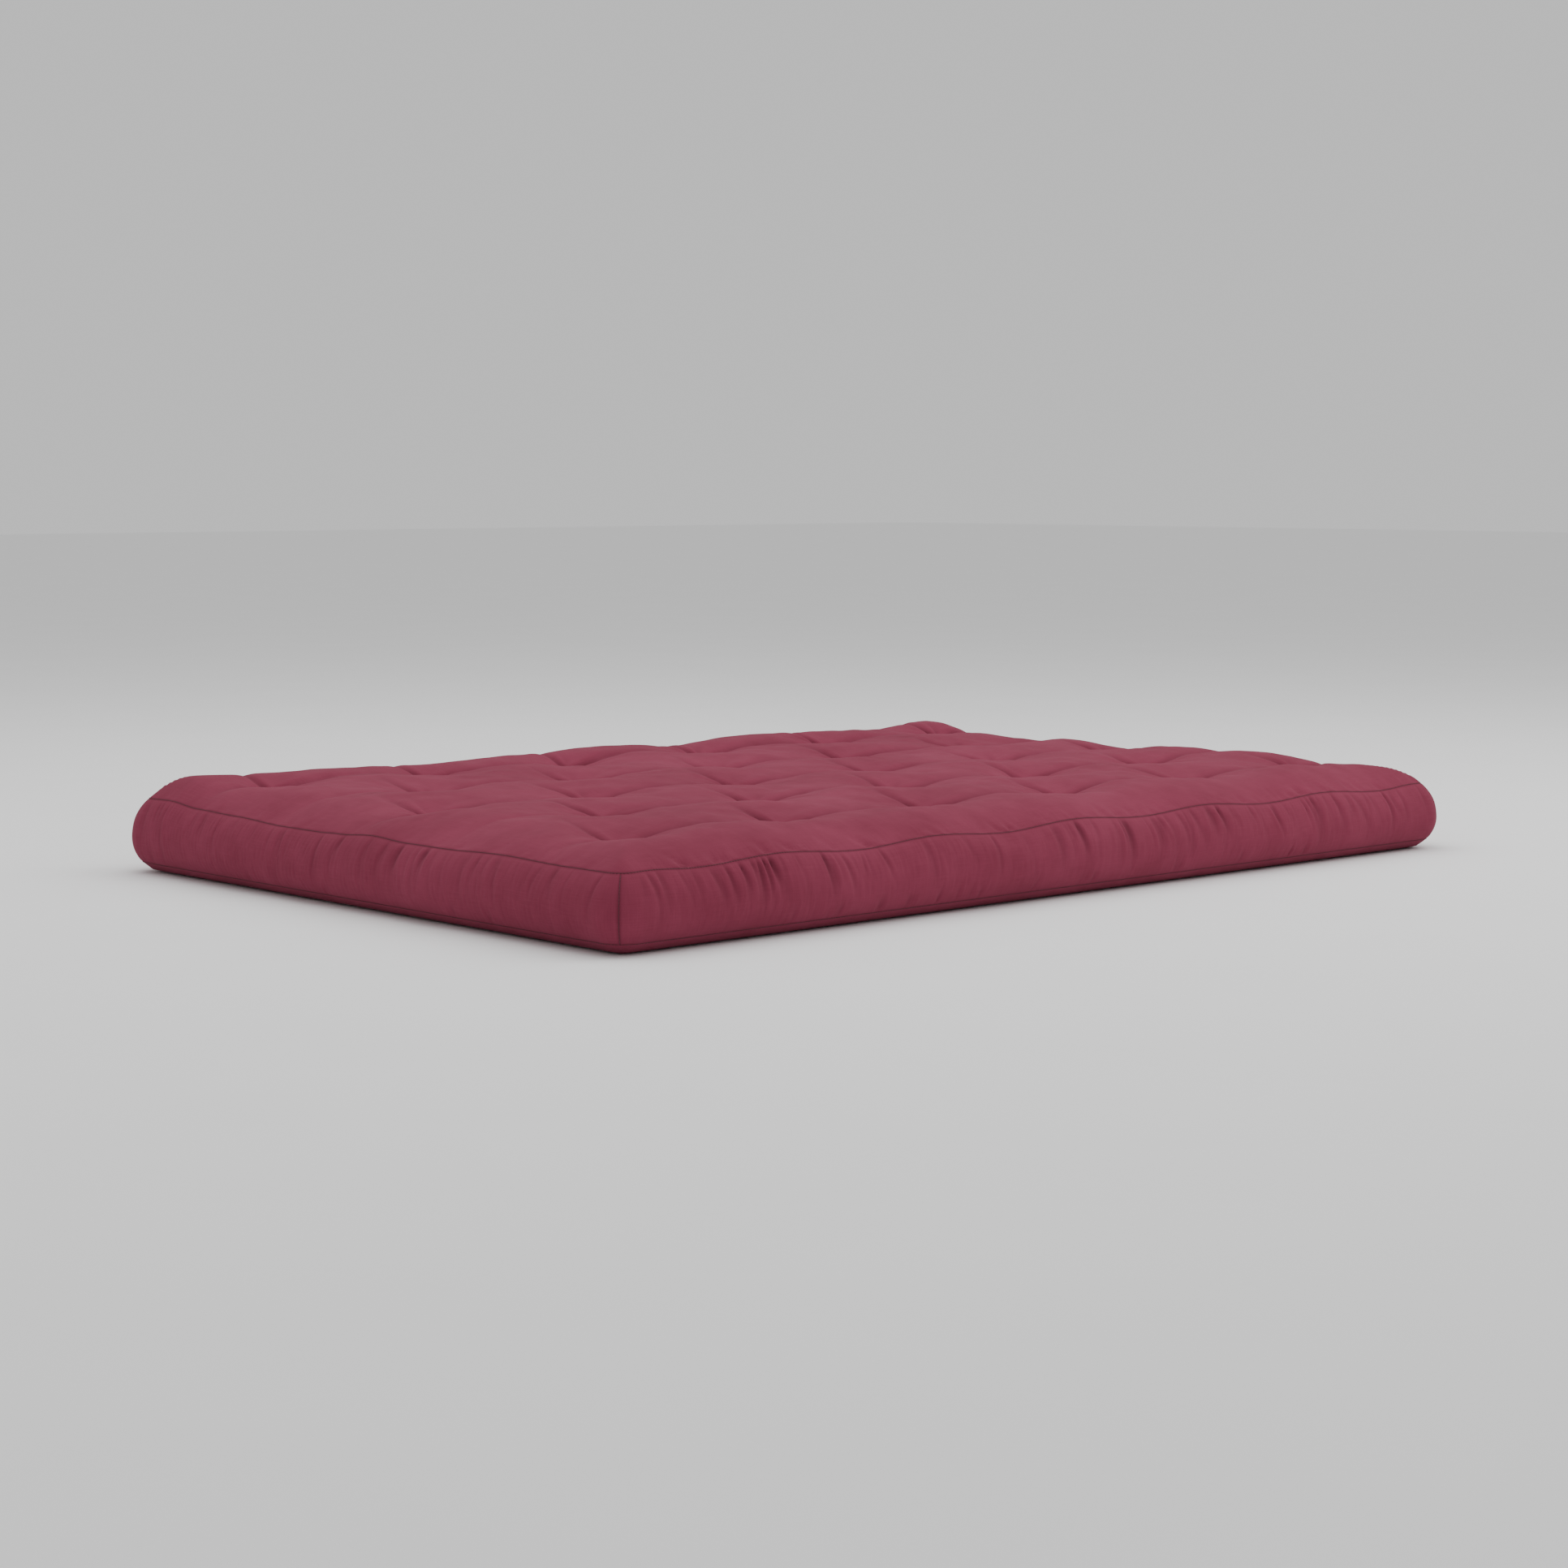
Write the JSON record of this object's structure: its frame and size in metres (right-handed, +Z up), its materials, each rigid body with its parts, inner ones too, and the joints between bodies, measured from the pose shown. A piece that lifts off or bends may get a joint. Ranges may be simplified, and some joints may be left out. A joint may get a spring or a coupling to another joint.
{
  "type": "futon mattress",
  "caption": "Tufted futon mattress with a bordered cotton case over felt and foam layers, lying flat and folding along its length into a seat and a backrest.",
  "frame": {"origin": "on the floor under the middle of the mattress", "axes": "+X along the long side, +Y from the front edge of the seat towards the rear edge of the back, +Z up"},
  "size_m": [1.976, 1.356, 0.156],
  "materials": {
    "cover_cotton": "matte plain weave",
    "cotton_felt": "carded felt",
    "core_foam": "open-cell foam",
    "seam_thread": "twisted thread",
    "tufting_twine": "waxed twine"
  },
  "bodies": {
    "seat_section": {"seat_cover_top": "cover_cotton", "seat_cover_bottom": "cover_cotton", "front_border": "cover_cotton", "seat_left_border": "cover_cotton", "seat_right_border": "cover_cotton", "seat_foam_core": "core_foam", "seat_lower_felt_1": "cotton_felt", "seat_lower_felt_2": "cotton_felt", "seat_lower_felt_3": "cotton_felt", "seat_upper_felt_1": "cotton_felt", "seat_upper_felt_2": "cotton_felt", "seat_upper_felt_3": "cotton_felt", "seat_top_seam_thread": "seam_thread", "seat_bottom_seam_thread": "seam_thread", "seat_corner_seam_threads": "seam_thread", "seat_tufting_twine": "tufting_twine"},
    "back_section": {"back_cover_top": "cover_cotton", "back_cover_bottom": "cover_cotton", "rear_border": "cover_cotton", "back_left_border": "cover_cotton", "back_right_border": "cover_cotton", "back_foam_core": "core_foam", "back_lower_felt_1": "cotton_felt", "back_lower_felt_2": "cotton_felt", "back_lower_felt_3": "cotton_felt", "back_upper_felt_1": "cotton_felt", "back_upper_felt_2": "cotton_felt", "back_upper_felt_3": "cotton_felt", "back_top_seam_thread": "seam_thread", "back_bottom_seam_thread": "seam_thread", "back_corner_seam_threads": "seam_thread", "back_tufting_twine": "tufting_twine"}
  },
  "joints": [
    {"name": "backrest_fold", "type": "hinge", "parent": "seat_section", "child": "back_section", "pos_m": [0, 0.1175, 0.156], "axis": [1, 0, 0], "range_deg": [0, 75]}
  ]
}
